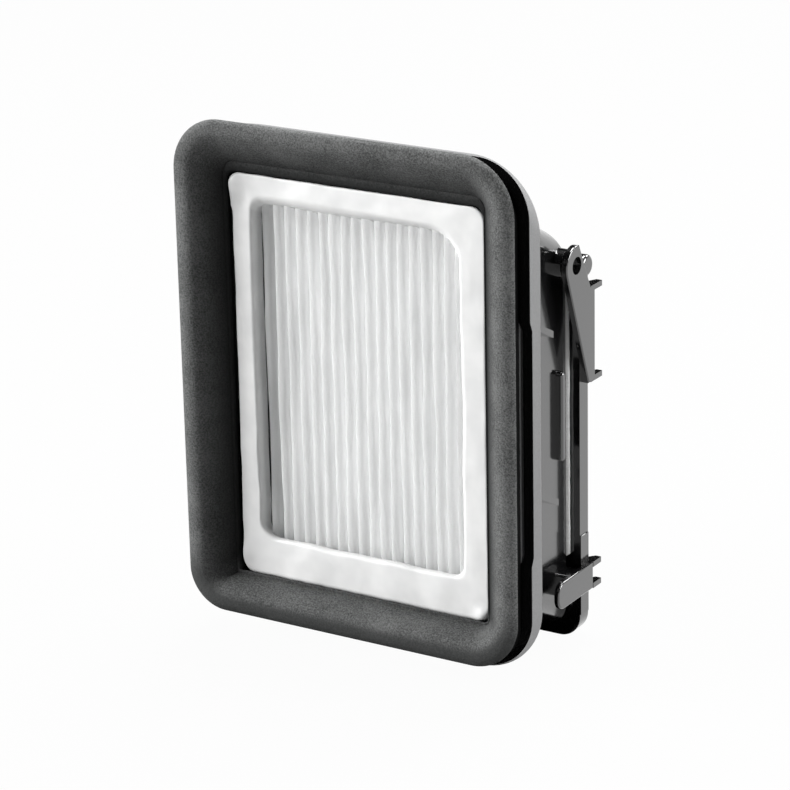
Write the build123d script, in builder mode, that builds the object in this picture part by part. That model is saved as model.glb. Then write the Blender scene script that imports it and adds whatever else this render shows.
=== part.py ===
"""Pleated filter with a soft flared seal, a slanted body and a hinged rear frame.

Millimetres. The seal faces -Y, +X is to the right seen from the seal, +Z is up, and the
origin is the middle of the sealing plane. The body falls as it runs back from there.
"""
import os
from math import atan2, degrees, hypot

from build123d import *

os.makedirs("parts", exist_ok=True)

# Slanted axis that every section of the body follows
SLANT = 0.52
AXIS = (0, 1, -SLANT)

# Front outline: the seal, which gives the flange its width and height
FRONT_W = 81.6
FRONT_H = 110.0
FRONT_R = 12.0

# Flange, a little higher than the seal, with corners that get rounder towards the rear
FLANGE_SHORT = 0.1
FLANGE_RISE = 1.1
FLANGE_R = 12.0
FLANGE_REAR_TALL = 1.6
FLANGE_REAR_RISE = 1.6
FLANGE_REAR_R = 15.5
FLANGE_T = 4.4
RELIEF_L = 53.0
RELIEF_Z = -7.4
RELIEF_IN = 2.7
RELIEF_DEEP = 0.9
RELIEF_RAMP = 2.0

# Body behind the flange
BODY_W = 67.0
BODY_H = 88.8
BODY_R = 6.0
BODY_RISE = 3.4
BODY_END = 35.4
BODY_TOP_ROUND = 9.5
WALL = 1.6
TOP_LAND = 3.2
LAND_FROM = 19.8

# Seal: depth in front of the flange, width round the opening, and the neck under the lip
SEAL_DEPTH = 7.4
SEAL_WEB = 10.0
NECK_IN = 2.6
NECK_DEPTH = 3.0

# Glue bead in a pocket of the flange, standing proud of it inside the seal's opening
BEAD_W = 65.2
BEAD_H = 92.0
BEAD_R = 4.5
BEAD_RISE = 0.4
BEAD_SEAT = 10.6
BEAD_PROUD = 0.8
BEAD_CLEAR = 0.1

# Pleated pack
PLEATS = 18
PLEAT_PITCH = 2.75
PLEAT_REACH = 18.0
PLEAT_FOLD = 6.0
PACK_H = 75.2
PACK_RISE = 2.4
PACK_FRONT = 8.6
PACK_CLEAR = 0.1

# Felt sheet between the body and the rear frame
FELT_T = 0.9
FELT_OUT = 0.3
FELT_TOP = 19.9
FELT_STEP = -43.6
FELT_LOW = -56.1
FELT_LOW_IN = 5.5

# Rear frame
DOOR_GAP = 0.3
DOOR_OUT = 2.7
DOOR_H = 84.2
DOOR_R = 5.0
DOOR_TOP_R = 2.0
DOOR_T = 4.6
DOOR_Z = -19.5
DOOR_RIM = 5.5
DOOR_EDGE = 1.2
DOOR_RELIEF = 2.6
DOOR_RELIEF_H = 6.5
RAIL_Y = 40.5
RAIL_Z = 21.4
RAIL_R = 2.4
RAIL_EDGE = 0.8
BAR_W = 1.4
BAR_T = 1.9
BARS_UP = 5
BARS_ACROSS = 6

# Hinge: pin on the body, ear on the rear frame
HINGE_Y = 33.2
HINGE_Z = 23.6
PIN_R = 1.85
PIN_CLEAR = 0.05
PIN_LONG = 0.8
BOSS_R = 3.2
BOSS_OUT = 1.8
EAR_GAP = 0.3
EAR_R = 4.3
HUB_R = 2.7
EAR_T = 1.3
EAR_FRONT = 38.4
EAR_LOW = -3.7
EAR_HIGH = 17.5
EAR_CUT_BACK = 34.3
EAR_CUT_TOP = 28.0
EAR_CUT_FOOT = 39.3

# Rounding of the outer edges of the ears and latch arms
SIDE_EDGE = 0.35

# Latch arms on the rear frame
LATCH_FRONT = 23.9
LATCH_BACK = 39.3
LATCH_LOW = -50.5
LATCH_HIGH = -44.4
LATCH_IN = 0.7
LATCH_T = 1.1
LATCH_R = 2.6
ROOT_PAD_T = 0.25
ROOT_PAD_LOW = -56.1
ROOT_PAD_HIGH = -38.0

# Small fins behind the ears and latches
FIN_T = 1.2
FIN_LONG = 3.0
FIN_SHORT = 1.6
FIN_FOOT = 3.6

# Guide ribs, stop bar and catch pad on the body sides
RIB_OUT = 2.2
RIB_T = 1.5
RIB_ENDS = ((18.7, 14.5), (-18.1, 16.4))
STOP_Y = 31.9
STOP_T = 1.9
STOP_OUT = 1.6
STOP_EDGE = 0.6
STOP_LOW = -19.5
STOP_HIGH = 0.5
PAD_Y = 32.8
PAD_L = 5.0
PAD_R = 0.6
PAD_CLEAR = 0.4

# Values that follow from the ones above
FLANGE_FRONT = SEAL_DEPTH
RELIEF_ANGLE = degrees(atan2(RELIEF_DEEP, -RELIEF_RAMP))
FLANGE_BACK = FLANGE_FRONT + FLANGE_T
BODY_SIDE = BODY_W / 2
FELT_W = BODY_W + 2 * FELT_OUT
FELT_LOW_W = BODY_W - 2 * FELT_LOW_IN
DOOR_W = BODY_W + 2 * DOOR_OUT
DOOR_SIDE = DOOR_W / 2
DOOR_FRONT = BODY_END + FELT_T + DOOR_GAP
DOOR_BACK = DOOR_FRONT + DOOR_T
DOOR_TOP = DOOR_Z + DOOR_H / 2
PACK_W = PLEATS * PLEAT_PITCH
PACK_HOLE = PACK_W + 2 * PACK_CLEAR, PACK_H + 2 * PACK_CLEAR
BEAD_IN = SEAL_WEB + BEAD_CLEAR
LATCH_SIDE = DOOR_SIDE + LATCH_IN
EMBED = 1.0
ROUND_Y = BODY_END - BODY_TOP_ROUND
ROUND_Z = BODY_RISE + BODY_H / 2 - SLANT * ROUND_Y - BODY_TOP_ROUND * hypot(1, SLANT)
ROUND_FAR = 2 * BODY_TOP_ROUND


def station(depth, rise=0.0):
    """Plane across the slanted axis at a depth, facing the front."""
    return Plane(origin=(0, depth, rise - SLANT * depth), x_dir=(1, 0, 0), z_dir=(0, -1, 0))


def rail_end(edge):
    """Whether an edge is the round rim at an end of the rail."""
    return edge.radius == RAIL_R


def run(depth):
    """Length along the slanted axis that covers a depth."""
    return depth * hypot(1, SLANT)


with BuildPart() as filter_frame:
    with BuildSketch(station(FLANGE_BACK, BODY_RISE)):
        RectangleRounded(BODY_W, BODY_H, BODY_R)
    extrude(amount=run(BODY_END - FLANGE_BACK), dir=AXIS)
    # upper rear edge rounded off so that the rear frame can swing up over it
    with BuildSketch(Plane.YZ.offset(-BODY_W)):
        with Locations((ROUND_Y, ROUND_Z)):
            Polygon(
                (0, 0), (ROUND_FAR, 0), (ROUND_FAR, ROUND_FAR), (SLANT * ROUND_FAR, ROUND_FAR), align=None
            )
            Circle(BODY_TOP_ROUND, mode=Mode.SUBTRACT)
    extrude(amount=2 * BODY_W, mode=Mode.SUBTRACT)
    with BuildSketch(station(FLANGE_FRONT, FLANGE_RISE)):
        RectangleRounded(FRONT_W, FRONT_H - FLANGE_SHORT, FLANGE_R)
    with BuildSketch(station(FLANGE_BACK, FLANGE_REAR_RISE)):
        RectangleRounded(FRONT_W, FRONT_H + FLANGE_REAR_TALL, FLANGE_REAR_R)
    loft(ruled=True)
    # stretch of the flange front set back along each side, with a ramp at both ends
    for side in (-1, 1):
        with BuildSketch(Plane.YZ.offset(side * (FRONT_W / 2 - RELIEF_IN))):
            with Locations((FLANGE_FRONT + RELIEF_DEEP, RELIEF_Z)):
                Trapezoid(RELIEF_L, RELIEF_DEEP, RELIEF_ANGLE, align=(Align.CENTER, Align.MIN), rotation=90)
        extrude(amount=2 * RELIEF_IN, dir=(side, 0, 0), mode=Mode.SUBTRACT)
    # pocket for the glue bead, then the cavity for the pack with its lowered roof at the rear
    with BuildSketch(station(FLANGE_FRONT, BEAD_RISE)):
        RectangleRounded(BEAD_W, BEAD_H, BEAD_R)
    extrude(amount=run(BEAD_SEAT - FLANGE_FRONT), dir=AXIS, mode=Mode.SUBTRACT)
    with BuildSketch(station(BEAD_SEAT, BODY_RISE)):
        RectangleRounded(BODY_W - 2 * WALL, BODY_H - 2 * WALL, BODY_R - WALL)
    extrude(amount=run(LAND_FROM - BEAD_SEAT), dir=AXIS, mode=Mode.SUBTRACT)
    with BuildSketch(station(LAND_FROM, BODY_RISE - TOP_LAND / 2)):
        RectangleRounded(BODY_W - 2 * WALL, BODY_H - 2 * WALL - TOP_LAND, BODY_R - WALL)
    extrude(amount=run(BODY_END - LAND_FROM), dir=AXIS, mode=Mode.SUBTRACT)
    for side in (-1, 1):
        out = (side, 0, 0)
        # guide ribs that follow the slant, ending clear of the stop bar
        with BuildSketch(Plane.YZ.offset(side * (BODY_SIDE - EMBED))):
            for top, length in RIB_ENDS:
                drop = SLANT * length
                back = FLANGE_BACK + length
                low = top - drop
                rib = (FLANGE_BACK, top), (back, low), (back, low - RIB_T), (FLANGE_BACK, top - RIB_T)
                Polygon(*rib, align=None)
        extrude(amount=EMBED + RIB_OUT, dir=out)
        with BuildSketch(Plane.YZ.offset(side * (BODY_SIDE - EMBED))):
            with Locations((STOP_Y, (STOP_LOW + STOP_HIGH) / 2)):
                SlotOverall(STOP_HIGH - STOP_LOW, STOP_T, rotation=90)
        extrude(amount=EMBED + STOP_OUT, dir=out)
        stop_face = filter_frame.faces(Select.LAST).sort_by(Axis.X)[-max(side, 0)]
        fillet(stop_face.edges(), STOP_EDGE)
        # pad that the latch arm bears on
        with BuildSketch(Plane.YZ.offset(side * (BODY_SIDE - EMBED))):
            with Locations((PAD_Y, (LATCH_LOW + LATCH_HIGH) / 2)):
                RectangleRounded(PAD_L, LATCH_HIGH - LATCH_LOW - 2 * PAD_CLEAR, PAD_R)
        extrude(amount=EMBED + LATCH_SIDE - BODY_SIDE - PAD_CLEAR, dir=out)
        # hinge boss and pin
        with BuildSketch(Plane.YZ.offset(side * (BODY_SIDE - EMBED))):
            with Locations((HINGE_Y, HINGE_Z)):
                Circle(BOSS_R)
        extrude(amount=EMBED + BOSS_OUT, dir=out)
        with BuildSketch(Plane.YZ.offset(side * (BODY_SIDE + BOSS_OUT))):
            with Locations((HINGE_Y, HINGE_Z)):
                Circle(PIN_R)
        extrude(amount=PIN_LONG, dir=out)
filter_frame.part.label = "filter_frame"
export_step(filter_frame.part, "parts/filter_frame.step")

with BuildPart() as gasket:
    # outside: neck on the flange, then the lip that overhangs it and turns in to the crest
    for depth, inset in (
        (0, NECK_IN),
        (NECK_DEPTH, NECK_IN),
        (NECK_DEPTH + 2.2, 0.3),
        (SEAL_DEPTH - 1.4, 0),
        (SEAL_DEPTH - 0.5, 0.7),
        (SEAL_DEPTH, 2.2),
    ):
        with BuildSketch(station(FLANGE_FRONT - depth)):
            RectangleRounded(FRONT_W - 2 * inset, FRONT_H - 2 * inset, FRONT_R - inset)
    loft(ruled=True)
    # inside: hollow slope from the crest down to a narrow ledge at the opening
    for depth, inset in (
        (0, SEAL_WEB),
        (1.4, SEAL_WEB),
        (1.5, SEAL_WEB - 1.0),
        (3.2, SEAL_WEB - 2.4),
        (5.2, SEAL_WEB - 4.2),
        (6.7, SEAL_WEB - 5.9),
        (SEAL_DEPTH, SEAL_WEB - 7.2),
    ):
        with BuildSketch(station(FLANGE_FRONT - depth)):
            RectangleRounded(FRONT_W - 2 * inset, FRONT_H - 2 * inset, FRONT_R - inset)
    loft(ruled=True, mode=Mode.SUBTRACT)
gasket.part.label = "gasket"
export_step(gasket.part, "parts/gasket.step")

with BuildPart() as glue_bead:
    with BuildSketch(station(BEAD_SEAT, BEAD_RISE)):
        RectangleRounded(BEAD_W, BEAD_H, BEAD_R)
        with Locations((0, PACK_RISE - BEAD_RISE)):
            Rectangle(*PACK_HOLE, mode=Mode.SUBTRACT)
    extrude(amount=-run(BEAD_SEAT - FLANGE_FRONT), dir=AXIS)
    with BuildSketch(station(FLANGE_FRONT)):
        RectangleRounded(FRONT_W - 2 * BEAD_IN, FRONT_H - 2 * BEAD_IN, FRONT_R - BEAD_IN)
        with Locations((0, PACK_RISE)):
            Rectangle(*PACK_HOLE, mode=Mode.SUBTRACT)
    extrude(amount=-run(BEAD_PROUD), dir=AXIS)
glue_bead.part.label = "glue_bead"
export_step(glue_bead.part, "parts/glue_bead.step")

with BuildPart() as pleat_pack:
    # one folded sheet, then trimmed to the slant of the body
    crests = [(i - PLEATS) * PLEAT_PITCH / 2 for i in range(2 * PLEATS + 1)]
    folds = [(x, PACK_FRONT + PLEAT_REACH * (1 - i % 2)) for i, x in enumerate(crests)]
    rear_folds = [(x, y + PLEAT_FOLD) for x, y in reversed(folds)]
    with BuildSketch(Plane.XY.offset(-FRONT_H)):
        Polygon(*folds, *rear_folds, align=None)
    extrude(amount=2 * FRONT_H)
    with BuildSketch(station(PACK_FRONT - EMBED, PACK_RISE)):
        Rectangle(PACK_W, PACK_H)
    extrude(amount=run(BODY_END - PACK_FRONT), dir=AXIS, mode=Mode.INTERSECT)
pleat_pack.part.label = "pleat_pack"
export_step(pleat_pack.part, "parts/pleat_pack.step")

with BuildPart() as felt_sheet:
    with BuildSketch(Plane.XZ.offset(-BODY_END)):
        with Locations((0, (FELT_TOP + FELT_STEP) / 2)):
            Rectangle(FELT_W, FELT_TOP - FELT_STEP)
        with Locations((0, (FELT_STEP + FELT_LOW) / 2)):
            Rectangle(FELT_LOW_W, FELT_STEP - FELT_LOW)
    extrude(amount=-FELT_T)
felt_sheet.part.label = "felt_sheet"
export_step(felt_sheet.part, "parts/felt_sheet.step")

with BuildPart() as screen_frame:
    with BuildSketch(Plane.XZ.offset(-DOOR_FRONT)) as rear_outline:
        with Locations((0, DOOR_Z)):
            Rectangle(DOOR_W, DOOR_H)
        fillet(rear_outline.vertices().group_by(Axis.Y)[0], DOOR_R)
        fillet(rear_outline.vertices().group_by(Axis.Y)[-1], DOOR_TOP_R)
    extrude(amount=-DOOR_T)
    fillet(screen_frame.faces().sort_by(Axis.Y)[-1].edges(), DOOR_EDGE)
    with BuildSketch(Plane.XZ.offset(-DOOR_FRONT)):
        with Locations((0, DOOR_Z)):
            RectangleRounded(DOOR_W - 2 * DOOR_RIM, DOOR_H - 2 * DOOR_RIM, DOOR_R - DOOR_EDGE)
    extrude(amount=-DOOR_T, mode=Mode.SUBTRACT)
    # upper edge set back so that the frame swings clear of the body
    with BuildSketch(Plane.YZ.offset(-DOOR_SIDE)):
        with Locations((DOOR_FRONT, DOOR_TOP)):
            Rectangle(2 * DOOR_RELIEF, 2 * DOOR_RELIEF_H)
    extrude(amount=DOOR_W, mode=Mode.SUBTRACT)
    # round rail along the upper edge
    with BuildSketch(Plane.YZ.offset(-DOOR_SIDE)):
        with Locations((RAIL_Y, RAIL_Z)):
            Circle(RAIL_R)
    extrude(amount=DOOR_W)
    fillet(screen_frame.edges().filter_by(GeomType.CIRCLE).filter_by(rail_end), RAIL_EDGE)
    # grille bars
    with BuildSketch(Plane.XZ.offset(-DOOR_FRONT - DOOR_RELIEF)):
        with Locations((0, DOOR_Z)):
            with GridLocations((DOOR_W - 2 * DOOR_RIM) / (BARS_UP + 1), 0, BARS_UP, 1):
                Rectangle(BAR_W, DOOR_H - 2 * DOOR_RIM + EMBED)
            with GridLocations(0, (DOOR_H - 2 * DOOR_RIM) / (BARS_ACROSS + 1), 1, BARS_ACROSS):
                Rectangle(DOOR_W - 2 * DOOR_RIM + EMBED, BAR_W)
    extrude(amount=-BAR_T)
    for side in (-1, 1):
        out = (side, 0, 0)
        # hinge ear with its hub
        with BuildSketch(Plane.YZ.offset(side * DOOR_SIDE)):
            with BuildLine():
                CenterArc((HINGE_Y, HINGE_Z), EAR_R, 0, 360)
                Polyline((EAR_FRONT, EAR_LOW), (DOOR_BACK, EAR_LOW), (DOOR_BACK, EAR_HIGH))
            make_hull()
            Polygon(
                (EAR_CUT_BACK, EAR_CUT_TOP),
                (EAR_CUT_FOOT, EAR_HIGH),
                (DOOR_BACK + EMBED, EAR_HIGH),
                (DOOR_BACK + EMBED, EAR_CUT_TOP),
                align=None,
                mode=Mode.SUBTRACT,
            )
        extrude(amount=EAR_T, dir=out)
        with BuildSketch(Plane.YZ.offset(side * (BODY_SIDE + BOSS_OUT + EAR_GAP))):
            with Locations((HINGE_Y, HINGE_Z)):
                Circle(HUB_R)
        extrude(amount=DOOR_SIDE + EAR_T / 2 - BODY_SIDE - BOSS_OUT - EAR_GAP, dir=out)
        fillet(screen_frame.faces().sort_by(Axis.X)[-max(side, 0)].edges(), SIDE_EDGE)
        with BuildSketch(Plane.YZ.offset(side * BODY_SIDE)):
            with Locations((HINGE_Y, HINGE_Z)):
                Circle(PIN_R + PIN_CLEAR)
        extrude(amount=DOOR_SIDE, dir=out, mode=Mode.SUBTRACT)
        # latch arm on a root block
        with BuildSketch(Plane.YZ.offset(side * LATCH_SIDE)) as latch:
            with Locations(((LATCH_FRONT + LATCH_BACK) / 2, (LATCH_LOW + LATCH_HIGH) / 2)):
                Rectangle(LATCH_BACK - LATCH_FRONT, LATCH_HIGH - LATCH_LOW)
            fillet(latch.vertices().group_by(Axis.X)[0], LATCH_R)
        extrude(amount=LATCH_T, dir=out)
        fillet(screen_frame.faces().sort_by(Axis.X)[-max(side, 0)].edges(), SIDE_EDGE)
        with BuildSketch(Plane.YZ.offset(side * (DOOR_SIDE - EMBED))):
            with Locations(((DOOR_FRONT + LATCH_BACK) / 2, (LATCH_LOW + LATCH_HIGH) / 2)):
                Rectangle(LATCH_BACK - DOOR_FRONT, LATCH_HIGH - LATCH_LOW)
        extrude(amount=EMBED + LATCH_IN, dir=out)
        # low pad that the latch springs from
        with BuildSketch(Plane.YZ.offset(side * (DOOR_SIDE - EMBED))):
            with Locations(((DOOR_FRONT + DOOR_BACK - DOOR_EDGE) / 2, (ROOT_PAD_LOW + ROOT_PAD_HIGH) / 2)):
                Rectangle(DOOR_T - DOOR_EDGE, ROOT_PAD_HIGH - ROOT_PAD_LOW)
        extrude(amount=EMBED + ROOT_PAD_T, dir=out)
        # fins behind the ear and the latch
        for top, outer, reach in (
            (EAR_HIGH, DOOR_SIDE + EAR_T, FIN_LONG),
            (EAR_LOW + FIN_T, DOOR_SIDE + EAR_T, FIN_LONG),
            (LATCH_HIGH, LATCH_SIDE + LATCH_T, FIN_SHORT),
            (LATCH_LOW + FIN_T, LATCH_SIDE + LATCH_T, FIN_SHORT),
        ):
            foot = DOOR_BACK - DOOR_EDGE
            with BuildSketch(Plane.XY.offset(top - FIN_T)):
                Polygon(
                    (side * outer, LATCH_BACK),
                    (side * outer, DOOR_BACK + reach),
                    (side * (outer - EAR_T), DOOR_BACK + reach),
                    (side * (outer - FIN_FOOT), foot),
                    (side * (outer - FIN_FOOT), LATCH_BACK),
                    align=None,
                )
            extrude(amount=FIN_T)
screen_frame.part.label = "screen_frame"
export_step(screen_frame.part, "parts/screen_frame.step")
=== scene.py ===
"""Dressed scene of a pleated vacuum filter with a flared seal and a hinged rear frame.

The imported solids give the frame. The seal, the glue, the pleats and the felt are rebuilt here as
the soft or poured things they are, and the two mouldings keep their solids with eased edges. Sizes
are in millimetres in the classes below, and become metres where a vertex is made. The lamps are in
metres.
"""

import logging
import math
from dataclasses import dataclass
from enum import Enum
from typing import Mapping, Optional, Sequence, Union

import bpy
from mathutils import Matrix, Vector, noise

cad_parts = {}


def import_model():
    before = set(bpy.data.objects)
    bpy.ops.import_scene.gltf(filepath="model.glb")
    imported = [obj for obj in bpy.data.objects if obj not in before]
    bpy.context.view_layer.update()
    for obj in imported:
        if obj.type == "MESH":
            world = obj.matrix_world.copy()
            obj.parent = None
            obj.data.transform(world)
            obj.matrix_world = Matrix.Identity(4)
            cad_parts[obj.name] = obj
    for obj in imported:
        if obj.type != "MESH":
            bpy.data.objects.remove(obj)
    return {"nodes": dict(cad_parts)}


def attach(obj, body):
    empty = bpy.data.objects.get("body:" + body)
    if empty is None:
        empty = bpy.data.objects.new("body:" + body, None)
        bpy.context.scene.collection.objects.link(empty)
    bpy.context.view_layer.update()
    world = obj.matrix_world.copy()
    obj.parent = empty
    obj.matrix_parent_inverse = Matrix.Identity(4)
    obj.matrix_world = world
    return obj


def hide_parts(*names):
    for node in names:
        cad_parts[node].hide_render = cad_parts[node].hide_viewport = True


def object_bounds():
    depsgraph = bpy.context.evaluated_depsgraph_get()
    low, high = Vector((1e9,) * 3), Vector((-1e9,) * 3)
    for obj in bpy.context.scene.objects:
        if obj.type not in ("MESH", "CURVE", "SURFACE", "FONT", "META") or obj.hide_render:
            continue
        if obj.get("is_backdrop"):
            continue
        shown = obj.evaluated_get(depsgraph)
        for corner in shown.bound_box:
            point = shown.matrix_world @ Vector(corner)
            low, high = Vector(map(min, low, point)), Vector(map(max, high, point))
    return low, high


log = logging.getLogger("filter_scene")

MM = 0.001
SLANT = 0.52
BODY = "cartridge"
WHITE = (1.0, 1.0, 1.0, 1.0)
FLANGE_SIZE = (81.6, 110.8, 13.8)

Pair = tuple[float, float]
Vec3 = tuple[float, float, float]
Four = tuple[float, float, float, float]
Colour = tuple[float, float, float, float]
Term = Union["Value", float]


class Ray(Enum):
    """Kinds of ray that see the backdrop as plain white."""

    CAMERA = "Is Camera Ray"
    GLOSSY = "Is Glossy Ray"
    TRANSMISSION = "Is Transmission Ray"


# Node trees


class Value:
    """Socket of a node tree that adds Math nodes where it stands in an expression."""

    def __init__(self, tree: "Tree", socket: Optional[bpy.types.NodeSocket]) -> None:
        """Keep the socket and the tree it belongs to."""
        self.tree = tree
        self.socket = socket

    def other(self, output: str) -> "Value":
        """Another output of the same node."""
        return Value(self.tree, self.socket.node.outputs[output])

    def _math(self, operation: str, *terms: Term) -> "Value":
        """Add one Math node with these terms in order."""
        return self.tree.node("ShaderNodeMath", {"operation": operation}, dict(enumerate(terms)))

    def __add__(self, term: Term) -> "Value":
        """Sum."""
        return self._math("ADD", self, term)

    __radd__ = __add__

    def __sub__(self, term: Term) -> "Value":
        """Difference."""
        return self._math("SUBTRACT", self, term)

    def __rsub__(self, term: Term) -> "Value":
        """Difference from a number."""
        return self._math("SUBTRACT", term, self)

    def __mul__(self, term: Term) -> "Value":
        """Product."""
        return self._math("MULTIPLY", self, term)

    __rmul__ = __mul__

    def __pow__(self, term: Term) -> "Value":
        """Power."""
        return self._math("POWER", self, term)

    def __abs__(self) -> "Value":
        """Size without sign."""
        return self._math("ABSOLUTE", self)

    def most(self, term: Term) -> "Value":
        """The larger of two."""
        return self._math("MAXIMUM", self, term)

    def step(self, low: float, high: float) -> "Value":
        """Smooth rise from 0 to 1.

        Args:
            low: Value where the rise starts.
            high: Value where it ends, below low for a fall.

        Returns:
            The rise.
        """
        settings = {"interpolation_type": "SMOOTHSTEP"}
        sockets = {"Value": self, 1: low, 2: high}
        if low > high:
            sockets = {"Value": self, 1: high, 2: low, 3: 1.0, 4: 0.0}
        return self.tree.node("ShaderNodeMapRange", settings, sockets)


class Tree:
    """Node tree of a material or of the world."""

    def __init__(self, owner: Union[bpy.types.Material, bpy.types.World]) -> None:
        """Clear the owner's tree and take it."""
        owner.use_nodes = True
        self.tree = owner.node_tree
        self.tree.nodes.clear()

    def node(
        self,
        kind: str,
        settings: Optional[Mapping[str, object]] = None,
        sockets: Optional[Mapping[Union[int, str], object]] = None,
        out: Union[int, str, None] = 0,
    ) -> Value:
        """Add one node.

        Args:
            kind: Type of the node.
            settings: Its settings, which are set first.
            sockets: Values or links of its inputs, by name or number.
            out: Output to hand back.

        Returns:
            That output, or an empty one where the node has none.
        """
        made = self.tree.nodes.new(kind)
        for name, setting in (settings or {}).items():
            setattr(made, name, setting)
        for key, value in (sockets or {}).items():
            if isinstance(value, Value):
                self.tree.links.new(value.socket, made.inputs[key])
            else:
                made.inputs[key].default_value = value
        return Value(self, None if out is None else made.outputs[out])

    def place(self) -> Value:
        """Place on the object in millimetres."""
        at = self.node("ShaderNodeTexCoord", out="Object")
        return self.node("ShaderNodeVectorMath", {"operation": "SCALE"}, {0: at, "Scale": 1 / MM})

    def stretched(self, place: Value, by: Vec3) -> Value:
        """A place with each axis scaled."""
        return self.node("ShaderNodeVectorMath", {"operation": "MULTIPLY"}, {0: place, 1: by})

    def reach(
        self, place: Value, size: Vec3, slant: float, middle: float = 0.0
    ) -> tuple[Value, Value, Value]:
        """Where a place lies on a slanted ring with rounded corners.

        Args:
            place: Place in millimetres.
            size: Width, height and corner radius of the ring.
            slant: Fall of the ring for each millimetre back.
            middle: Height of its middle at the front.

        Returns:
            Distance out from the corners' centres, the depth, and the height before the slant.
        """
        wide, tall, radius = size
        across = self.node("ShaderNodeSeparateXYZ", None, {0: place}, out="X")
        depth = across.other("Y")
        up = across.other("Z") + slant * depth - middle
        out_x = (abs(across) - (wide / 2 - radius)).most(0.0)
        out_z = (abs(up) - (tall / 2 - radius)).most(0.0)
        return (out_x * out_x + out_z * out_z) ** 0.5, depth, up

    def grain(self, place: Value, per_mm: float, detail: float, rough: float = 0.55) -> Value:
        """Noise around 0.5.

        Args:
            place: Where to read it, in millimetres.
            per_mm: Lumps to the millimetre.
            detail: Finer layers on top.
            rough: Weight of those layers.

        Returns:
            The noise.
        """
        sockets = {"Vector": place, "Scale": per_mm, "Detail": detail, "Roughness": rough}
        return self.node("ShaderNodeTexNoise", {"noise_dimensions": "3D"}, sockets)

    def blend(self, factor: Term, low: object, high: object) -> Value:
        """Mix of two colours."""
        sockets = {0: factor, 6: low, 7: high}
        return self.node("ShaderNodeMix", {"data_type": "RGBA"}, sockets, out=2)

    def bump(self, height: Value, depth_mm: float, strength: float) -> Value:
        """Normal of a bumpy surface whose height of 1 stands this far out."""
        sockets = {"Height": height, "Distance": depth_mm * MM, "Strength": strength}
        return self.node("ShaderNodeBump", None, sockets)

    def seen_white(self) -> Value:
        """1 for rays that see the backdrop, else 0."""
        paths = self.node("ShaderNodeLightPath", out=Ray.CAMERA.value)
        return paths.most(paths.other(Ray.GLOSSY.value)).most(paths.other(Ray.TRANSMISSION.value))

    def principled(self, sockets: Mapping[Union[int, str], object]) -> Value:
        """Add the shader of a solid surface."""
        return self.node("ShaderNodeBsdfPrincipled", None, sockets)

    def surface(self, shader: Value) -> None:
        """Link a shader to the material's output."""
        self.node("ShaderNodeOutputMaterial", None, {"Surface": shader}, out=None)


def scaled(colour: Colour, by: float) -> Colour:
    """A colour made lighter or darker."""
    return tuple(by * level for level in colour[:3]) + (1.0,)


# Finishes


@dataclass(frozen=True)
class GlossPlastic:
    """Black moulded plastic, with a fine grain and a painted pale sheen on the flange's edge."""

    name: str
    colour: Colour = (0.003, 0.003, 0.0032, 1.0)
    roughness: float = 0.13
    ior: float = 1.72
    coat: float = 0.9
    coat_roughness: float = 0.1
    haze_per_mm: float = 0.11
    swirl_per_mm: float = 1.7
    fine_per_mm: float = 3.4
    bump: Pair = (0.03, 0.6)
    # The rim colour is painted sheen: the pale grey that grazing light gives the grained edge.
    rim_sheen_colour: Colour = (0.155, 0.156, 0.158, 1.0)
    rim_roughness: float = 0.6
    rim_size: Optional[Vec3] = None
    rim_slant: float = 0.407
    rim_middle: float = 0.26
    rim_slack: float = 3.0
    rim_depths: Pair = (7.52, 11.7)

    def build(self) -> bpy.types.Material:
        """Make the material.

        Returns:
            The material, grained and given a painted pale sheen where rim_size gives the width,
            height and radius of a flange.
        """
        made = bpy.data.materials.new(self.name)
        tree = Tree(made)
        place = tree.place()
        haze = tree.grain(place, self.haze_per_mm, 2.0)
        swirl = tree.grain(place, self.swirl_per_mm, 4.0)
        fine = tree.grain(place, self.fine_per_mm, 2.0)
        rough = self.roughness + 0.07 * haze + 0.04 * swirl.step(0.55, 0.75)
        colour = tree.blend(swirl.step(0.35, 0.8), self.colour, scaled(self.colour, 1.5))
        height = 0.5 * haze
        coat: Term = self.coat
        if self.rim_size:
            rim = self._rim(tree, place)
            # Real grain on the flange's edge, under a pale grey painted in as the sheen of grazing
            # light.
            pitted_sheen = scaled(self.rim_sheen_colour, 0.8)
            grain_and_sheen = tree.blend(fine.step(0.3, 0.7), pitted_sheen, self.rim_sheen_colour)
            colour = tree.blend(rim, colour, grain_and_sheen)
            rough = rough * (1 - rim) + self.rim_roughness * rim
            height = height + 1.6 * fine * rim
            coat = self.coat * (1 - rim)
        sockets = {
            "Base Color": colour,
            "Roughness": rough,
            "IOR": self.ior,
            "Coat Weight": coat,
            "Coat Roughness": self.coat_roughness,
            "Normal": tree.bump(height, *self.bump),
        }
        tree.surface(tree.principled(sockets))
        return made

    def _rim(self, tree: Tree, place: Value) -> Value:
        """Mask of the flange's outer edge, which takes the grain and the painted sheen.

        Args:
            tree: Tree to add to.
            place: Place in millimetres.

        Returns:
            1 on the edge, else 0.
        """
        reach, depth, _ = tree.reach(place, self.rim_size, self.rim_slant, self.rim_middle)
        start = self.rim_size[2] - self.rim_slack
        low, high = self.rim_depths
        facing = tree.node("ShaderNodeTexCoord", out="Normal")
        front = abs(tree.node("ShaderNodeSeparateXYZ", None, {0: facing}, out="Y"))
        # Only faces turned sideways take the grain and the painted sheen, not those facing front
        # or back.
        edge = front.step(0.6, 0.4) * reach.step(start, start + 0.2)
        return edge * depth.step(low, low + 0.1) * depth.step(high, high - 0.1)


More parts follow.
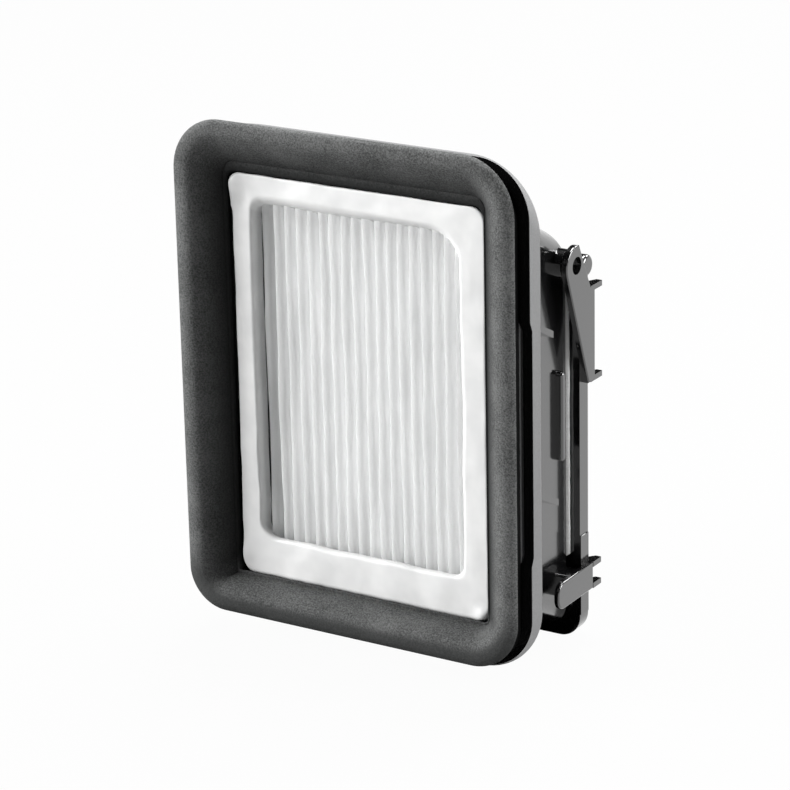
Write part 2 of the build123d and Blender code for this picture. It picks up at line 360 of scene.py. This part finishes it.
@dataclass(frozen=True)
class SealRubber:
    """Matte charcoal rubber with a fine grain, and painted shade: darker inside, on the bottom
    roll and under the lip.
    """

    name: str = "seal_rubber_grain_painted_shade"
    dark: Colour = (0.05, 0.0515, 0.051, 1.0)
    light: Colour = (0.19, 0.193, 0.192, 1.0)
    # deep is painted shade for the inner ramp towards the opening.
    deep: Colour = (0.014, 0.0145, 0.0145, 1.0)
    # under is painted shade: near black under the lip and on the neck.
    under: Colour = (0.006, 0.006, 0.006, 1.0)
    roughness: float = 0.66
    specular: float = 0.02
    grain_per_mm: float = 2.8
    blotch_per_mm: float = 0.09
    bump: Pair = (0.2, 0.9)
    size: Vec3 = (81.6, 110.0, 12.0)
    # lip and neck_depths place the painted shade under the lip.
    lip: float = 2.9
    neck_depths: Pair = (1.5, 2.3)
    # ramp, low_side and low_crest place the painted shade on the inner ramp, which spares the
    # bottom side, and on the bottom's outer roll.
    ramp: Pair = (10.5, 2.5)
    low_side: Pair = (-40.0, -49.0)
    low_crest: Pair = (4.5, 2.0)

    def build(self) -> bpy.types.Material:
        """Make the material."""
        made = bpy.data.materials.new(self.name)
        tree = Tree(made)
        place = tree.place()
        fine = tree.grain(place, self.grain_per_mm, 3.0, 0.7)
        broad = tree.grain(place, self.blotch_per_mm, 2.0)
        level = (0.85 * fine + 0.3 * (broad - 0.5)).step(0.2, 0.66)
        reach, depth, up = tree.reach(place, self.size, SLANT)
        inset = self.size[2] - reach
        low = up.step(*self.low_side)
        # Painted shade: the inner ramp darkens to deep towards the opening, except on the bottom
        # side.
        unshaded = inset.step(*self.ramp).most(low)
        face = tree.blend(unshaded, self.deep, tree.blend(level, self.dark, self.light))
        # Painted shade: the bottom's outer roll, which faces down, darkens towards dark.
        face = tree.blend(0.8 * low * inset.step(*self.low_crest), face, self.dark)
        # Painted shade: near black under the lip and on the neck, from the colour under.
        behind = inset.step(self.lip, self.lip - 0.1) * depth.step(*self.neck_depths)
        sockets = {
            "Base Color": tree.blend(behind, face, self.under),
            "Roughness": self.roughness + 0.2 * fine,
            "Specular IOR Level": self.specular,
            "Normal": tree.bump(fine, *self.bump),
        }
        tree.surface(tree.principled(sockets))
        return made


@dataclass(frozen=True)
class PouredGlue:
    """White poured glue, smooth and a little uneven."""

    name: str = "poured_glue_white"
    colour: Colour = (0.8, 0.802, 0.797, 1.0)
    shade: Colour = (0.74, 0.744, 0.742, 1.0)
    roughness: float = 0.27
    pool_per_mm: float = 0.16
    skin_per_mm: float = 0.7
    bump: Pair = (0.05, 0.5)

    def build(self) -> bpy.types.Material:
        """Make the material."""
        made = bpy.data.materials.new(self.name)
        tree = Tree(made)
        place = tree.place()
        pool = tree.grain(place, self.pool_per_mm, 2.0)
        skin = tree.grain(place, self.skin_per_mm, 3.0)
        sockets = {
            "Base Color": tree.blend(pool.step(0.3, 0.7), self.shade, self.colour),
            "Roughness": self.roughness + 0.22 * pool,
            "Normal": tree.bump(skin, *self.bump),
        }
        tree.surface(tree.principled(sockets))
        return made


@dataclass(frozen=True)
class FilterPaper:
    """White non-woven filter paper that lets some light through."""

    name: str = "filter_paper_white"
    colour: Colour = (0.96, 0.963, 0.962, 1.0)
    shade: Colour = (0.92, 0.925, 0.925, 1.0)
    roughness: float = 0.85
    specular: float = 0.25
    through: float = 0.72
    along: Vec3 = (1.0, 1.0, 0.12)
    fibre_per_mm: float = 1.9
    fuzz_per_mm: float = 6.0
    stain_per_mm: float = 0.35
    bump: Pair = (0.05, 0.5)

    def build(self) -> bpy.types.Material:
        """Make the material."""
        made = bpy.data.materials.new(self.name)
        tree = Tree(made)
        place = tree.place()
        drawn = tree.stretched(place, self.along)
        fibre = tree.grain(drawn, self.fibre_per_mm, 4.0, 0.6)
        fuzz = tree.grain(place, self.fuzz_per_mm, 2.0)
        stain = tree.grain(drawn, self.stain_per_mm, 3.0)
        worn = (0.6 * fibre + 0.4 * stain).step(0.36, 0.52)
        colour = tree.blend(worn, self.shade, self.colour)
        normal = tree.bump(0.7 * fibre + 0.3 * fuzz, *self.bump)
        sockets = {
            "Base Color": colour,
            "Roughness": self.roughness,
            "Specular IOR Level": self.specular,
            "Normal": normal,
        }
        face = tree.principled(sockets)
        glow = tree.node("ShaderNodeBsdfTranslucent", None, {"Color": colour, "Normal": normal})
        tree.surface(tree.node("ShaderNodeMixShader", None, {0: self.through, 1: face, 2: glow}))
        return made


@dataclass(frozen=True)
class Felt:
    """White needled felt."""

    name: str = "felt_white"
    colour: Colour = (0.84, 0.842, 0.836, 1.0)
    shade: Colour = (0.7, 0.702, 0.698, 1.0)
    roughness: float = 0.75
    specular: float = 0.2
    sheen: float = 0.25
    along: Vec3 = (0.5, 1.0, 1.6)
    strands_per_mm: float = 2.4
    mat_per_mm: float = 0.5
    bump: Pair = (0.15, 0.8)

    def build(self) -> bpy.types.Material:
        """Make the material."""
        made = bpy.data.materials.new(self.name)
        tree = Tree(made)
        place = tree.place()
        strands = tree.grain(tree.stretched(place, self.along), self.strands_per_mm, 5.0, 0.7)
        mat = tree.grain(place, self.mat_per_mm, 3.0)
        level = (0.7 * strands + 0.3 * mat).step(0.35, 0.65)
        sockets = {
            "Base Color": tree.blend(level, self.shade, self.colour),
            "Roughness": self.roughness + 0.2 * mat,
            "Specular IOR Level": self.specular,
            "Sheen Weight": self.sheen,
            "Normal": tree.bump(strands, *self.bump),
        }
        tree.surface(tree.principled(sockets))
        return made


@dataclass(frozen=True)
class StageWhite:
    """Pale floor that reads as white and still takes a shadow."""

    name: str = "studio_floor_white"
    colour: Colour = (0.3, 0.3, 0.3, 1.0)
    glow: float = 0.965

    def build(self) -> bpy.types.Material:
        """Make the material."""
        made = bpy.data.materials.new(self.name)
        tree = Tree(made)
        face = tree.node("ShaderNodeBsdfDiffuse", None, {"Color": self.colour})
        lit = tree.node("ShaderNodeEmission", None, {"Color": WHITE, "Strength": 1.0})
        share = self.glow * tree.seen_white()
        tree.surface(tree.node("ShaderNodeMixShader", None, {0: share, 1: face, 2: lit}))
        return made


@dataclass(frozen=True)
class StageBlack:
    """Unlit card of the studio."""

    name: str
    colour: Colour = (0.002, 0.002, 0.002, 1.0)

    def build(self) -> bpy.types.Material:
        """Make the material."""
        made = bpy.data.materials.new(self.name)
        tree = Tree(made)
        tree.surface(tree.node("ShaderNodeBsdfDiffuse", None, {"Color": self.colour}))
        return made


# Shapes


def clamp(share: float) -> float:
    """A share held between 0 and 1."""
    return min(max(share, 0.0), 1.0)


@dataclass(frozen=True)
class Waver:
    """Smooth unevenness, with its size either way, the length of a lump and its pattern."""

    size: float
    length: float
    pattern: float

    def at(self, x: float, z: float) -> float:
        """Unevenness at a place in millimetres."""
        pick = self.pattern
        spot = x / self.length + 13.7 * pick, z / self.length - 5.1 * pick, 2.3 * pick
        return self.size * noise.noise(Vector(spot))


def smooth_line(points: Sequence[Pair], steps: int) -> list[Pair]:
    """Curve through a few points.

    Args:
        points: Points to go through.
        steps: Spans between two points.

    Returns:
        Points of the curve, both ends among them.
    """
    ends = [points[0], *points, points[-1]]
    line = []
    for a, b, c, d in zip(ends, ends[1:], ends[2:], ends[3:]):
        for i in range(steps):
            t = i / steps
            spot = []
            for k in (0, 1):
                slope = (c[k] - a[k]) * t
                bend = (2 * a[k] - 5 * b[k] + 4 * c[k] - d[k]) * t**2
                twist = (3 * b[k] - a[k] - 3 * c[k] + d[k]) * t**3
                spot.append(0.5 * (2 * b[k] + slope + bend + twist))
            line.append(tuple(spot))
    return [*line, tuple(points[-1])]


@dataclass(frozen=True)
class Station:
    """Place on a rounded outline: a point of its inner rectangle and the way out from there."""

    x: float
    z: float
    out_x: float
    out_z: float

    def at(self, radius: float) -> Pair:
        """Point this far out."""
        return self.x + radius * self.out_x, self.z + radius * self.out_z


def outline(
    half_w: float, half_h: float, radii: Four, spans: tuple[int, int]
) -> list[tuple[Station, float]]:
    """Stations round a rectangle with rounded corners.

    Args:
        half_w: Half its width.
        half_h: Half its height.
        radii: Corner radii, from the upper right one on, anticlockwise.
        spans: Stations on each side and on each corner.

    Returns:
        Each station with its corner's radius, mixed along the sides.
    """
    side, corner = spans
    signs = ((1, 1), (-1, 1), (-1, -1), (1, -1))
    arcs = []
    for k, ((sx, sz), radius) in enumerate(zip(signs, radii)):
        arc = []
        for i in range(corner):
            turn = math.radians(90 * (k + i / (corner - 1)))
            out = math.cos(turn), math.sin(turn)
            arc.append((Station(sx * (half_w - radius), sz * (half_h - radius), *out), radius))
        arcs.append(arc)
    ring = []
    for arc, following in zip(arcs, arcs[1:] + arcs[:1]):
        ring.extend(arc)
        (a, ra), (b, rb) = arc[-1], following[0]
        for i in range(1, side + 1):
            t = i / (side + 1)
            step = Station(a.x + (b.x - a.x) * t, a.z + (b.z - a.z) * t, a.out_x, a.out_z)
            ring.append((step, ra + (rb - ra) * t))
    return ring


def mesh_object(
    name: str, rows: Sequence[Sequence[Vec3]], round_u: bool, round_v: bool, ends: int = 0
) -> bpy.types.Object:
    """Smooth mesh of quads over a grid of points.

    Args:
        name: Name of the object.
        rows: Points in millimetres, row by row.
        round_u: Whether each row closes on itself.
        round_v: Whether the last row joins the first.
        ends: Spans there and back of a flat tube that is closed at both ends, else 0.

    Returns:
        The object, linked to the scene.
    """
    tall, wide = len(rows), len(rows[0])
    points = [(x * MM, y * MM, z * MM) for row in rows for x, y, z in row]
    faces = []
    for v in range(tall if round_v else tall - 1):
        for u in range(wide if round_u else wide - 1):
            low, high = v * wide, (v + 1) % tall * wide
            faces.append((low + u, low + (u + 1) % wide, high + (u + 1) % wide, high + u))
    last = len(points) - wide
    for u in range(ends):
        faces.append((u + 1, u, wide - 1 - u, wide - 2 - u))
        faces.append((last + u, last + u + 1, last + wide - 2 - u, last + wide - 1 - u))
    data = bpy.data.meshes.new(name)
    data.from_pydata(points, [], faces)
    data.validate()
    data.shade_smooth()
    made = bpy.data.objects.new(name, data)
    bpy.context.scene.collection.objects.link(made)
    return made


def dress(
    piece: bpy.types.Object, finish: bpy.types.Material, node: str
) -> bpy.types.Object:
    """Give a soft piece its finish and its place in the model.

    Args:
        piece: Piece to dress.
        finish: Its material.
        node: Solid that it stands for.

    Returns:
        The piece.
    """
    piece.data.materials.append(finish)
    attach(piece, BODY)
    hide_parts(node)
    log.info("%s stands for %s, %d faces", piece.name, node, len(piece.data.polygons))
    return piece


# Sub-assemblies


@dataclass
class FlaredSeal:
    """Soft seal: a neck on the flange and a lip that flares out over it."""

    width: float = 81.6
    height: float = 110.0
    radii: Four = (12.0, 12.0, 8.8, 11.4)
    spans: tuple[int, int] = (44, 20)
    flange: float = 7.4
    web_side: float = 9.8
    web_top: float = 9.5
    web_low: float = 10.6
    ledge: float = 1.5
    crest: float = 3.0
    foot_side: float = 9.1
    foot_top: float = 7.3
    foot_low: float = 9.6
    groove: float = 0.3
    groove_side: float = 0.25
    stiff: float = 2.0
    limp: float = 4.0
    settle: float = 0.03
    wave: Waver = Waver(0.12, 26.0, 1.0)

    under: tuple[Pair, ...] = (
        (2.6, 0.0), (2.6, 2.0), (2.45, 3.2), (1.6, 4.3), (0.6, 5.3), (0.1, 5.8),
    )
    roll: tuple[Pair, ...] = (
        (0.0, 6.0), (0.3, 6.45), (0.9, 6.98), (1.9, 7.33), (3.0, 7.36),
        (4.2, 6.95), (5.6, 5.75), (7.0, 4.2), (8.2, 2.75), (9.0, 1.75), (9.1, 1.6),
    )

    def profile(self, top: float, low: float) -> list[Pair]:
        """Section of the seal.

        Args:
            top: 1 at the top side, else 0.
            low: 1 at the bottom side, else 0.

        Returns:
            Inset from the widest outline and height over the flange, round the section.
        """
        web = self.web_side
        web += (self.web_top - self.web_side) * top + (self.web_low - self.web_side) * low
        foot = self.foot_side
        foot += (self.foot_top - self.foot_side) * top + (self.foot_low - self.foot_side) * low
        scale = (foot - self.crest) / (self.foot_side - self.crest)
        ramp = [(min(i, self.crest) + max(i - self.crest, 0.0) * scale, d) for i, d in self.roll]
        dip = self.groove * (self.groove_side + (1 - self.groove_side) * top)
        ledge = [
            (foot, self.roll[-1][1]),
            (foot + 0.12, self.ledge - dip),
            (foot + 0.42, self.ledge - 0.2 * dip),
            (web - 0.35, self.ledge),
            (web - 0.08, self.ledge - 0.1),
            (web, self.ledge - 0.4),
        ]
        return [
            *smooth_line(self.under, 4),
            *smooth_line(ramp, 5)[:-1],
            *smooth_line(ledge, 3),
            (web, 0.0),
        ]

    def build(self, finish: bpy.types.Material) -> bpy.types.Object:
        """Make the seal.

        Args:
            finish: Its material.

        Returns:
            The piece.
        """
        rows = []
        for station, radius in outline(self.width / 2, self.height / 2, self.radii, self.spans):
            top, low = max(station.out_z, 0.0) ** 2, max(-station.out_z, 0.0) ** 2
            row = []
            for inset, rise in self.profile(top, low):
                x, z = station.at(radius - inset)
                free = clamp((rise - self.stiff) / self.limp) * min(inset / self.stiff, 1.0)
                y = self.flange - rise + free * self.wave.at(x, z) + self.settle * free
                row.append((x, max(y, 0.0), z - SLANT * y))
            rows.append(row)
        piece = mesh_object("seal_lip", rows, round_u=True, round_v=True)
        return dress(piece, finish, "gasket")


@dataclass
class GlueRing:
    """Poured glue between the seal's opening and the pleats."""

    open_w: float = 62.0
    open_h: float = 89.9
    open_rise: float = 0.55
    open_radii: Four = (3.0, 3.0, 3.0, 3.0)
    window_w: float = 49.1
    window_h: float = 74.6
    window_rise: float = 2.4
    window_radii: Four = (8.0, 2.2, 3.6, 2.6)
    spans: tuple[int, int] = (60, 14)
    across: int = 26
    level: float = 6.55
    seat: float = 10.5
    slot: float = 0.8
    shrink: float = 0.45
    jog: float = 38.5
    jog_length: float = 1.6
    edge_round: float = 0.7
    edge_round_left: float = 1.2
    hole_round: float = 1.6
    hole_round_left: float = 0.8
    hole_steep: float = 1.15
    dish: float = 0.03
    dish_width: float = 6.0
    edge_gap: float = 0.04
    pools: Waver = Waver(0.2, 9.0, 4.0)
    ripples: Waver = Waver(0.1, 3.6, 6.0)
    edge_wave: Waver = Waver(0.1, 4.0, 9.0)
    edge_jags: Waver = Waver(0.13, 0.9, 3.0)
    hole_wave: Waver = Waver(0.22, 7.0, 8.0)
    lumps: tuple[Four, ...] = (
        (-29.6, 42.6, 2.2, 0.75),
        (-27.5, 39.0, 1.6, -0.4),
        (-29.8, -40.6, 2.6, 0.5),
        (29.3, -43.2, 1.8, 0.7),
        (19.0, -40.5, 3.2, 0.35),
        (8.0, -38.2, 4.5, 0.22),
        (-12.0, -38.6, 5.5, 0.2),
    )

    @staticmethod
    def fall(away: float, radius: float) -> float:
        """Fall of a rounded edge this far away from it."""
        return radius * (1 - math.sqrt(max(1 - max(1 - away / radius, 0.0) ** 2, 0.0)))

    def front(self, x: float, z: float, from_edge: float, from_hole: float, left: float) -> float:
        """Depth of the glue's surface.

        Args:
            x: Place across.
            z: Place up, before the slant.
            from_edge: Distance from the seal's opening.
            from_hole: Distance from the window of the pleats.
            left: 1 on the left side, else 0.

        Returns:
            Depth in millimetres.
        """
        edge_r = self.edge_round + (self.edge_round_left - self.edge_round) * left
        hole_r = self.hole_round + (self.hole_round_left - self.hole_round) * left
        depth = self.level + self.fall(from_edge, edge_r)
        depth += self.hole_steep * self.fall(from_hole, hole_r)
        depth += self.dish * max(self.dish_width - from_edge, 0.0)
        depth -= self.pools.at(x, z) + self.ripples.at(x, z)
        for at_x, at_z, size, rise in self.lumps:
            depth -= rise * math.exp(-((x - at_x) ** 2 + (z - at_z) ** 2) / size**2)
        return depth

    def ends(self, edge: Station, edge_r: float, hole: Station, hole_r: float) -> Four:
        """Both ends of one line across the glue.

        Args:
            edge: Station at the seal's opening.
            edge_r: Its corner's radius.
            hole: Station at the window of the pleats.
            hole_r: Its corner's radius.

        Returns:
            The outer end across and up, then the inner one, before the slant.
        """
        left = max(-edge.out_x, 0.0) ** 2
        low = max(-edge.out_z, 0.0) ** 4
        spot = edge.at(edge_r)
        uneven = self.edge_wave.at(*spot) + low * self.edge_jags.at(*spot) - self.edge_gap
        ex, ez = edge.at(edge_r + uneven)
        ez += self.open_rise
        ex += self.shrink * left * clamp((self.jog - ez) / self.jog_length)
        hx, hz = hole.at(hole_r + self.hole_wave.at(*hole.at(hole_r)))
        return ex, ez, hx - self.slot * left, hz + self.window_rise

    def build(self, finish: bpy.types.Material) -> bpy.types.Object:
        """Make the glue.

        Args:
            finish: Its material.

        Returns:
            The piece.
        """
        outer = outline(self.open_w / 2, self.open_h / 2, self.open_radii, self.spans)
        inner = outline(self.window_w / 2, self.window_h / 2, self.window_radii, self.spans)
        rows = []
        for (edge, edge_r), (hole, hole_r) in zip(outer, inner):
            ex, ez, hx, hz = self.ends(edge, edge_r, hole, hole_r)
            left = max(-edge.out_x, 0.0) ** 2
            wide = math.hypot(hx - ex, hz - ez)
            row = [(ex, self.seat, ez - SLANT * self.seat)]
            for i in range(self.across + 1):
                t = 0.5 - 0.5 * math.cos(math.pi * i / self.across)
                x, z = ex + (hx - ex) * t, ez + (hz - ez) * t
                y = self.front(x, z, wide * t, wide * (1 - t), left)
                row.append((x, y, z - SLANT * y))
            row.append((hx, self.seat, hz - SLANT * self.seat))
            rows.append(row)
        piece = mesh_object("glue_ring", rows, round_u=True, round_v=True)
        return dress(piece, finish, "glue_bead")


@dataclass
class PleatedPack:
    """One sheet of filter paper in deep narrow folds."""

    pleats: int = 18
    pitch: float = 2.75
    front: float = 8.9
    deep: float = 23.6
    height: float = 75.2
    rise: float = 2.4
    tip: float = 1.22
    limp: float = 5.0
    rows: int = 64
    dips: tuple[float, ...] = (0.0, 0.04, 0.16, 0.36, 0.66, 1.2, 2.2, 3.8, 6.4, 11.0, 17.0)
    apart: Vec3 = (40.0, 31.0, 27.0)
    sway: Waver = Waver(0.3, 22.0, 1.3)
    ripple: Waver = Waver(0.14, 6.5, 2.1)
    stray: Waver = Waver(0.24, 9.0, 5.2)
    swell: Waver = Waver(0.22, 13.0, 3.7)
    lift: Waver = Waver(0.42, 17.0, 4.4)

    def half(self, fall: float) -> float:
        """Half the width of a fold this far behind its crest."""
        if fall < self.tip:
            return self.tip * math.sqrt(max(1 - (1 - fall / self.tip) ** 2, 0.0))
        share = (fall - self.tip) / (self.deep - self.tip)
        return self.tip + (self.pitch / 2 - self.tip) * share

    def line(self) -> list[tuple[int, float, float]]:
        """Folded line of the sheet.

        Returns:
            For each point its pleat, its offset from the crest and its fall behind it.
        """
        line = []
        for k in range(self.pleats):
            falls = [self.deep, *reversed(self.dips)]
            line.extend((k, -self.half(fall), fall) for fall in falls)
            line.extend((k, self.half(fall), fall) for fall in self.dips[1:])
        return [*line, (self.pleats - 1, self.half(self.deep), self.deep)]

    def point(self, pleat: int, offset: float, fall: float, up: float) -> Vec3:
        """One point of the folded sheet.

        Args:
            pleat: Number of the pleat.
            offset: Offset from its crest.
            fall: Fall behind the crest.
            up: Height from the middle.

        Returns:
            The point in millimetres.
        """
        near = math.exp(-fall / self.limp)
        by_shift, by_swell, by_lift = (gap * pleat for gap in self.apart)
        shift = self.sway.at(up, by_shift) + self.ripple.at(up, by_shift)
        shift += self.stray.at(0.0, by_shift)
        swell = 1 + near * self.swell.at(up, by_swell)
        x = (pleat + 0.5 - self.pleats / 2) * self.pitch + offset * swell + shift * near
        y = self.front + fall + near * self.lift.at(up, by_lift)
        return x, y, self.rise + up - SLANT * y

    def build(self, finish: bpy.types.Material) -> bpy.types.Object:
        """Args:
            finish: Its material.

        Returns:
            The piece.
        """
        line = self.line()
        heights = [self.height * (i / self.rows - 0.5) for i in range(self.rows + 1)]
        rows = [[self.point(*spot, up) for spot in line] for up in heights]
        piece = mesh_object("pleat_sheet", rows, round_u=False, round_v=False)
        dress(piece, finish, "pleat_pack")
        return piece


@dataclass
class FeltSheet:
    """Thin felt between the body and the rear frame."""

    width: float = 68.5
    low_width: float = 56.0
    top: float = 19.9
    step: float = -43.6
    step_length: float = 0.8
    low: float = -56.1
    front: float = 35.42
    thick: float = 0.86
    skin: float = 0.03
    slack: float = 0.12
    rim: float = 0.18
    rim_part: int = 6
    across: int = 44
    rows: int = 54
    edge_wave: Waver = Waver(0.1, 2.0, 2.0)
    fuzz: Waver = Waver(0.03, 1.5, 7.0)

    def half(self, z: float) -> float:
        """Half the width at a height."""
        share = clamp((z - self.step) / self.step_length + 0.5)
        return (self.low_width + (self.width - self.low_width) * share) / 2

    def build(self, finish: bpy.types.Material) -> bpy.types.Object:
        """Args:
            finish: Its material.

        Returns:
            The piece.
        """
        rows = []
        for i in range(self.rows + 1):
            z = self.low + (self.top - self.low) * i / self.rows
            half = self.half(z) - self.slack + self.edge_wave.at(0.0, z)
            there, back = [], []
            for j in range(self.across + 1):
                x = half * (2 * j / self.across - 1)
                rim = max(abs(x) / half * self.rim_part - (self.rim_part - 1), 0.0)
                inset = self.rim * rim**3 + self.skin + self.fuzz.at(x, z)
                there.append((x, self.front + inset, z))
                back.append((x, self.front + self.thick - inset, z))
            rows.append(there + back[::-1])
        piece = mesh_object("felt_pad", rows, round_u=True, round_v=False, ends=self.across)
        dress(piece, finish, "felt_sheet")
        area = self.width * (self.top - self.step) + self.low_width * (self.step - self.low)
        area * MM**2
        return piece


@dataclass
class Moulding:
    """Moulded solid that keeps its shape, with eased edges and its finish."""

    node: str
    easing: float = 0.22
    segments: int = 2
    sharp_from: float = 40.0
    flat_to: float = 0.4
    weld_m: float = 1e-6

    def dress(self, nodes: Mapping[str, bpy.types.Object], finish: bpy.types.Material) -> None:
        """Ease the edges and set the finish.

        Args:
            nodes: Objects of the frame by node.
            finish: Material of the moulding.
        """
        solid = nodes[self.node]
        weld = solid.modifiers.new("weld", "WELD")
        weld.merge_threshold = self.weld_m
        flat = solid.modifiers.new("flat", "DECIMATE")
        flat.decimate_type = "DISSOLVE"
        flat.angle_limit = math.radians(self.flat_to)
        ease = solid.modifiers.new("ease", "BEVEL")
        ease.width = self.easing * MM
        ease.segments = self.segments
        ease.limit_method = "ANGLE"
        ease.angle_limit = math.radians(self.sharp_from)
        even = solid.modifiers.new("even", "WEIGHTED_NORMAL")
        even.keep_sharp = False
        solid.data.shade_smooth()
        for slot in solid.material_slots:
            slot.material = finish
        log.info("%s keeps its solid, edges eased by %.2f mm", self.node, self.easing)


# Studio


@dataclass(frozen=True)
class Softbox:
    """Large soft lamp that faces the filter, its sizes in metres."""

    name: str
    toward: Vec3
    distance: float
    size: Pair
    watts: float

    def build(self, aim: Vector) -> None:
        """Hang the lamp.

        Args:
            aim: Point that it faces, in metres.
        """
        data = bpy.data.lights.new(self.name, "AREA")
        data.shape = "RECTANGLE"
        data.size, data.size_y = self.size
        data.energy = self.watts
        lamp = bpy.data.objects.new(self.name, data)
        way = Vector(self.toward).normalized()
        lamp.location = aim + way * self.distance
        lamp.rotation_euler = way.to_track_quat("Z", "Y").to_euler()
        bpy.context.scene.collection.objects.link(lamp)


@dataclass
class Studio:
    """Pale floor, white surroundings, dark cards, lamps and the camera of the photograph."""

    ambient: float = 0.012
    floor_gap: float = 0.2
    floor_half: float = 4000.0
    card: tuple[Pair, Pair] = ((-420.0, 33.0), (-620.0, 38.0))
    card_lift: float = 0.1
    roof_far: float = 2600.0
    roof_rise: Pair = (9.0, 89.5)
    roof_spans: tuple[int, int] = (12, 48)
    azimuth: float = 31.76
    elevation: float = 19.32
    roll: float = -1.22
    distance: float = 708.1
    focal_px: float = 3423.0
    frame_px: float = 790.0
    sensor: float = 36.0
    clip_m: Pair = (0.05, 50.0)
    aim: Vec3 = (0.0, 1.4, -0.73)
    slide: Pair = (10.49, -0.269)
    lamps_aim: Vec3 = (0.0, 15.0, -5.0)
    lamps: tuple[Softbox, ...] = (
        Softbox("key_left", (-0.76, -0.54, 0.37), 1.6, (0.95, 0.95), 46.5),
        Softbox("right_side", (0.9, 0.32, 0.3), 0.9, (0.42, 0.42), 8.5),
        Softbox("back_high", (0.3, 0.78, 0.55), 0.9, (0.45, 0.3), 4.0),
        Softbox("top_soft", (-0.05, 0.3, 0.95), 0.9, (0.45, 0.45), 13.0),
    )

    def build(self, foot: float) -> None:
        """Set up the whole studio.

        Args:
            foot: Height of the filter's lowest point in metres.
        """
        level = foot / MM - self.floor_gap
        self._light()
        self._floor(level)
        self._card(level + self.card_lift)
        self._roof()
        self._camera()
        log.info("studio with %d lamps, floor at %.1f mm", len(self.lamps), level)

    def _light(self) -> None:
        """Set the surroundings and hang the lamps."""
        world = bpy.data.worlds.new("studio_white")
        bpy.context.scene.world = world
        tree = Tree(world)
        strength = self.ambient + (1 - self.ambient) * tree.seen_white()
        glow = tree.node("ShaderNodeBackground", None, {"Color": WHITE, "Strength": strength})
        tree.node("ShaderNodeOutputWorld", None, {"Surface": glow}, out=None)
        for lamp in self.lamps:
            lamp.build(Vector(self.lamps_aim) * MM)

    def _floor(self, level: float) -> None:
        """Lay the floor at a height in millimetres."""
        half = self.floor_half
        rows = [[(x, y, level) for x in (-half, half)] for y in (-half, half)]
        made = mesh_object("studio_floor", rows, round_u=False, round_v=False)
        made.data.materials.append(StageWhite().build())
        made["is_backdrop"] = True

    def _card(self, level: float) -> None:
        """Lay a dark card for the unlit front of the studio, at a height in millimetres."""
        (left, right), (front, back) = self.card
        rows = [[(x, y, level) for x in (left, right)] for y in (front, back)]
        self._unlit(mesh_object("studio_card", rows, round_u=False, round_v=False))

    def _roof(self) -> None:
        """Hang a dark roof over the lamps."""
        low, high = self.roof_rise
        rings, spans = self.roof_spans
        rows = []
        for i in range(rings + 1):
            rise = math.radians(low + (high - low) * i / rings)
            reach, up = self.roof_far * math.cos(rise), self.roof_far * math.sin(rise)
            turns = [math.tau * j / spans for j in range(spans)]
            rows.append([(reach * math.cos(turn), reach * math.sin(turn), up) for turn in turns])
        self._unlit(mesh_object("studio_roof", rows, round_u=True, round_v=False))

    @staticmethod
    def _unlit(made: bpy.types.Object) -> None:
        """Make a piece of the studio black and leave it to reflections."""
        made.data.materials.append(StageBlack(made.name + "_black").build())
        made.visible_camera = False
        made.visible_diffuse = False
        made.visible_transmission = False
        made.visible_shadow = False
        made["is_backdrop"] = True

    def _camera(self) -> None:
        """Set up the camera where the photograph was taken."""
        a, e, r = (math.radians(v) for v in (self.azimuth, self.elevation, self.roll))
        back = Vector((math.sin(a) * math.cos(e), -math.cos(a) * math.cos(e), math.sin(e)))
        right = Vector((math.cos(a), math.sin(a), 0.0))
        up = back.cross(right)
        across = math.cos(r) * right + math.sin(r) * up
        rise = math.cos(r) * up - math.sin(r) * right
        place = Vector(self.aim) + back * self.distance
        place += across * self.slide[0] + rise * self.slide[1]
        data = bpy.data.cameras.new("photo_camera")
        data.sensor_width = self.sensor
        data.lens = self.focal_px / self.frame_px * self.sensor
        data.clip_start, data.clip_end = self.clip_m
        made = bpy.data.objects.new("photo_camera", data)
        turn = Matrix((across, rise, back)).transposed().to_4x4()
        made.matrix_world = Matrix.Translation(place * MM) @ turn
        bpy.context.scene.collection.objects.link(made)
        bpy.context.scene.camera = made


def main() -> None:
    """Build the filter's pieces in order, dress them and set up the studio."""
    logging.basicConfig(level=logging.INFO, format="%(name)s: %(message)s")
    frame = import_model()
    solid_box = [list(corner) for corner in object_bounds()]
    bpy.context.scene.view_settings.view_transform = "Standard"

    FlaredSeal().build(SealRubber().build())
    GlueRing().build(PouredGlue().build())
    PleatedPack().build(FilterPaper().build())
    FeltSheet().build(Felt().build())
    frame_finish = GlossPlastic("frame_plastic_black", rim_size=FLANGE_SIZE).build()
    door_finish = GlossPlastic("door_plastic_black").build()
    Moulding("filter_frame").dress(frame["nodes"], frame_finish)
    Moulding("screen_frame").dress(frame["nodes"], door_finish)

    Studio().build(solid_box[0][2])


if __name__ == "__main__":
    main()
